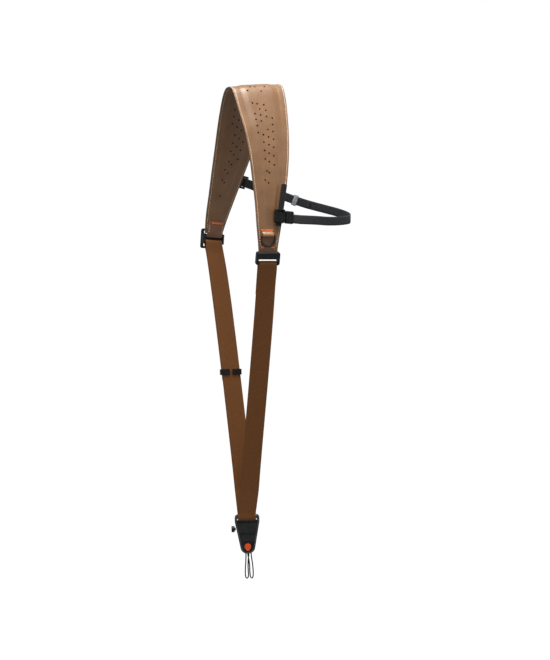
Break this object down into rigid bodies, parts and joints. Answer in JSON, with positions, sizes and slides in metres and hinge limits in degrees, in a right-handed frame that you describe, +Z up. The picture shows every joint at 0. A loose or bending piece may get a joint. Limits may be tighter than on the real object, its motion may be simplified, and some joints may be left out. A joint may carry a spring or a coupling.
{
  "type": "camera strap",
  "caption": "Perforated leather shoulder pad with a hanging webbing loop, adjusting buckles, a quick connector with an orange button and cord loops, a D-ring and a thin underarm strap.",
  "frame": {"origin": "on the underside of the pad's crest, where it lies on the shoulder", "axes": "+Z up; -Y to the front of the wearer; +X across the strap's width at the crest, towards the underarm strap"},
  "size_m": [0.1814, 0.1662, 0.6617],
  "materials": {
    "leather": "soft matt full-grain",
    "webbing": "woven",
    "underarm_webbing": "woven",
    "black_plastic": "satin",
    "grey_plastic": "satin",
    "orange_plastic": "satin",
    "ring_metal": "black coating",
    "cord": "braided"
  },
  "bodies": {
    "strap": {"shoulder_pad": "leather", "front_end_tab": "leather", "back_end_tab": "leather", "front_buckle": "black_plastic", "back_buckle": "black_plastic", "main_webbing": "webbing", "strap_keeper": "black_plastic", "d_ring_tab": "leather", "front_rail": "black_plastic", "back_rail": "black_plastic", "release_socket": "black_plastic", "release_plug": "black_plastic", "back_carriage": "black_plastic", "underarm_strap": "underarm_webbing", "underarm_slider": "grey_plastic"},
    "connector": {"connector_frame": "black_plastic", "connector_core": "grey_plastic", "side_knob": "black_plastic", "left_cord_loop": "cord", "right_cord_loop": "cord"},
    "button": {"release_button": "orange_plastic"},
    "ring": {"d_ring": "ring_metal"}
  },
  "joints": [
    {"name": "connector_swing", "type": "hinge", "parent": "strap", "child": "connector", "pos_m": [-0.01123, 0, -0.5699], "axis": [0.8907, -0.4538, 0.0279], "range_deg": [-60, 60]},
    {"name": "button_press", "type": "slide", "parent": "connector", "child": "button", "axis": [0.454, 0.891, 0], "range_m": [0, 0.0012], "stiffness_N_per_m": 400, "springref_m": -0.001},
    {"name": "ring_swing", "type": "hinge", "parent": "strap", "child": "ring", "pos_m": [-0.02251, -0.07668, -0.18215], "axis": [-0.9824, 0.1837, 0.0349], "range_deg": [0, 95]}
  ]
}
